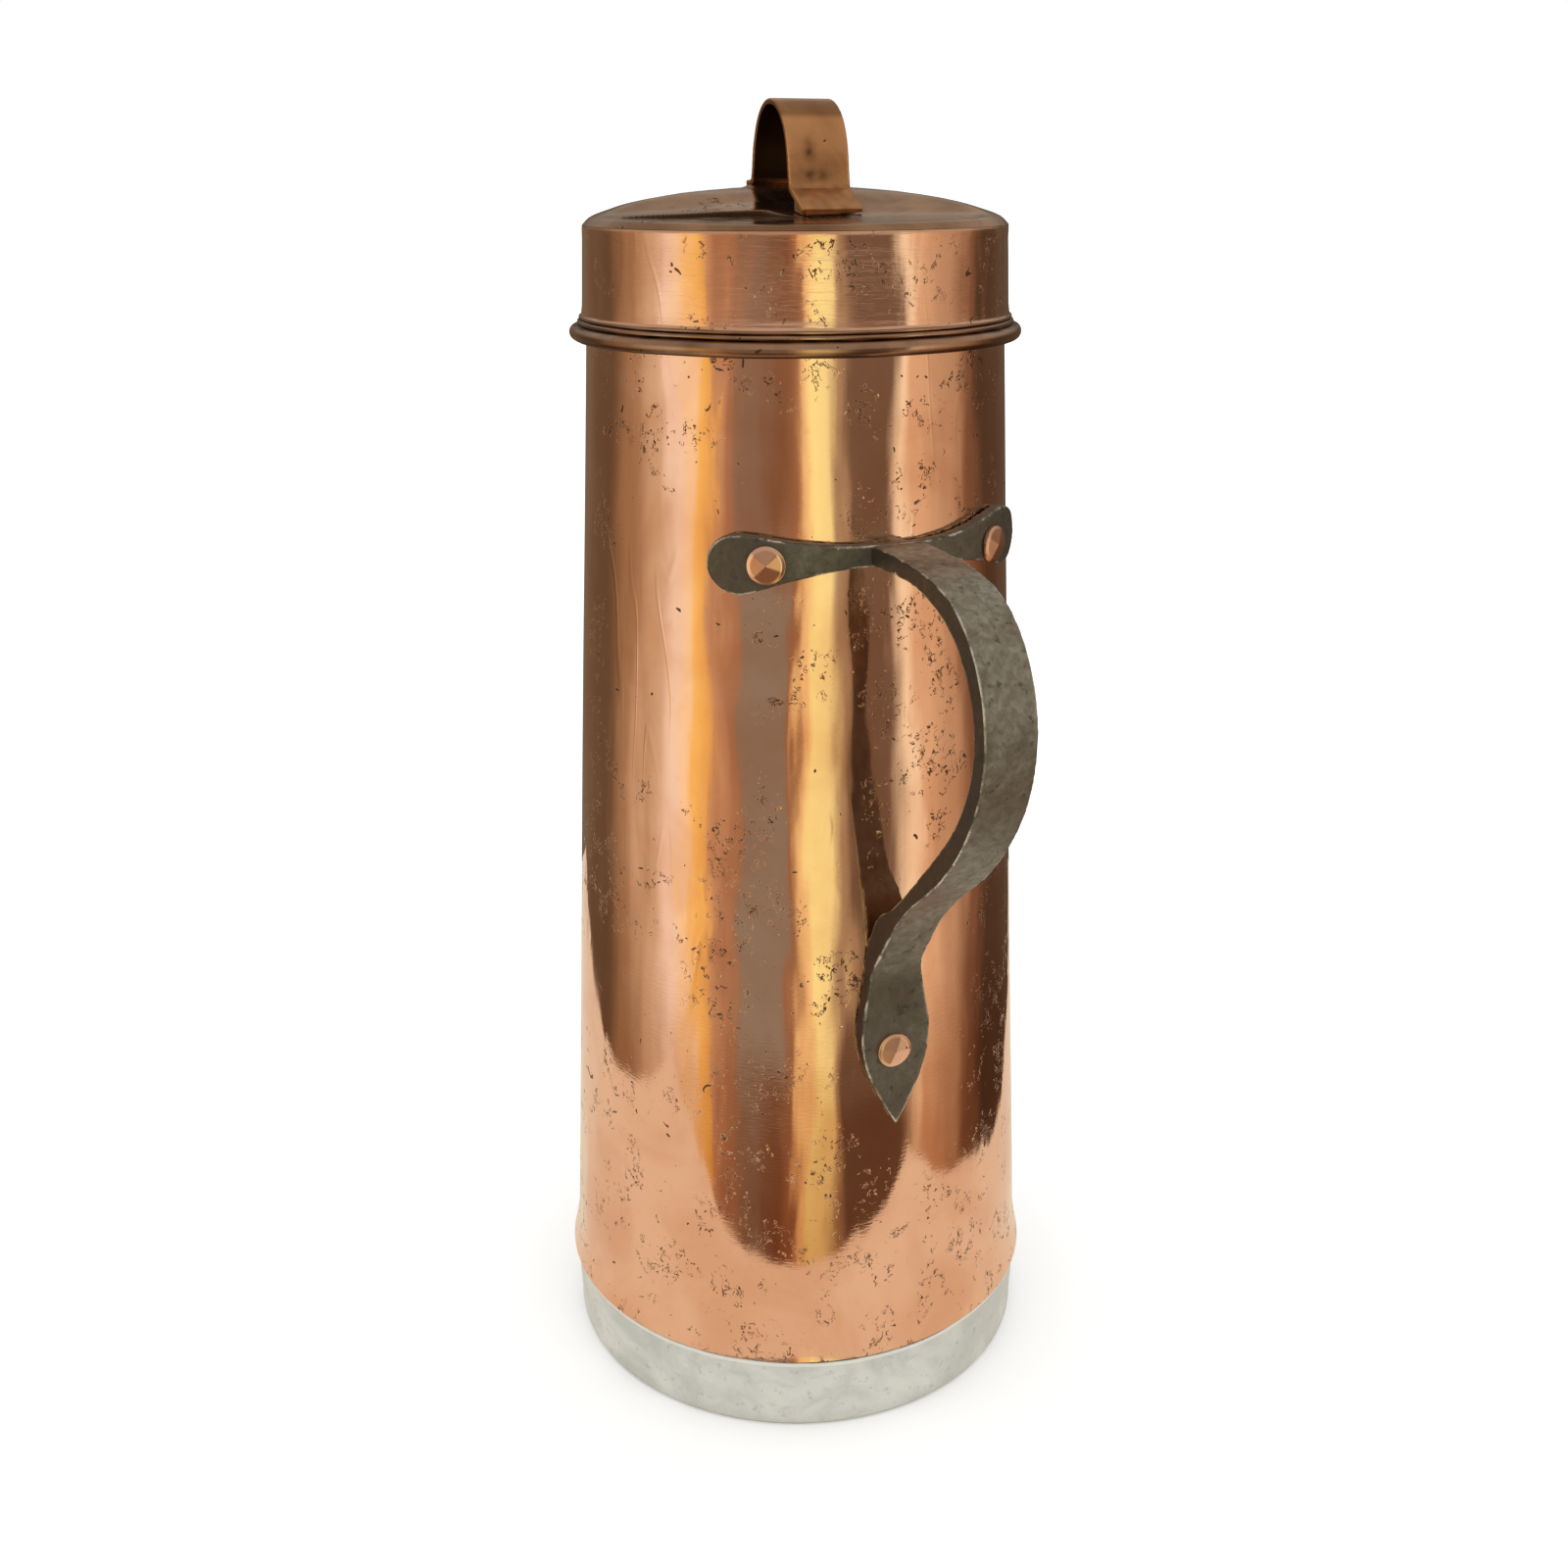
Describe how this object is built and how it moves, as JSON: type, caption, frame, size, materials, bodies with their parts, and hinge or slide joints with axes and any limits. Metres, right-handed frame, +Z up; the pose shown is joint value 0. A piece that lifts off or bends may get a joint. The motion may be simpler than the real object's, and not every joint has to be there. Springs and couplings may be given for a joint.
{
  "type": "lidded copper can",
  "caption": "Tall tapered copper can with a grey metal base pan, a slip-over domed lid with a strap loop, and a riveted forged iron side handle.",
  "frame": {"origin": "middle of the flat underside of the base pan", "axes": "+Z up along the can's axis, +X towards the side handle"},
  "size_m": [0.217, 0.1624, 0.4106],
  "materials": {
    "body_copper": "polished copper sheet, pitted and scratched, with a warm mirror shine",
    "lid_copper": "polished copper sheet with fine lines round the skirt and dull dents in the crown",
    "lid_handle_copper": "satin copper strap with dark stains by the solder",
    "rivet_copper": "bright copper, hammered to four facets",
    "base_metal": "satin tinned sheet with faint stains",
    "wrought_iron": "worn grey-brown forged iron with bright edges",
    "rim_wire": "plain iron wire, hidden in the rolled edge"
  },
  "bodies": {
    "can": {"body_shell": "body_copper", "base_pan": "base_metal", "handle_crossbar": "wrought_iron", "handle_strap": "wrought_iron", "rivet_upper_left": "rivet_copper", "rivet_upper_right": "rivet_copper", "rivet_lower": "rivet_copper"},
    "lid": {"lid_crown": "lid_copper", "lid_skirt": "lid_copper", "lid_rim_wire": "rim_wire", "lid_handle": "lid_handle_copper"}
  },
  "joints": [
    {"name": "lid_lift", "type": "slide", "parent": "can", "child": "lid", "axis": [0, 0, 1], "range_m": [0, 0.15]}
  ]
}
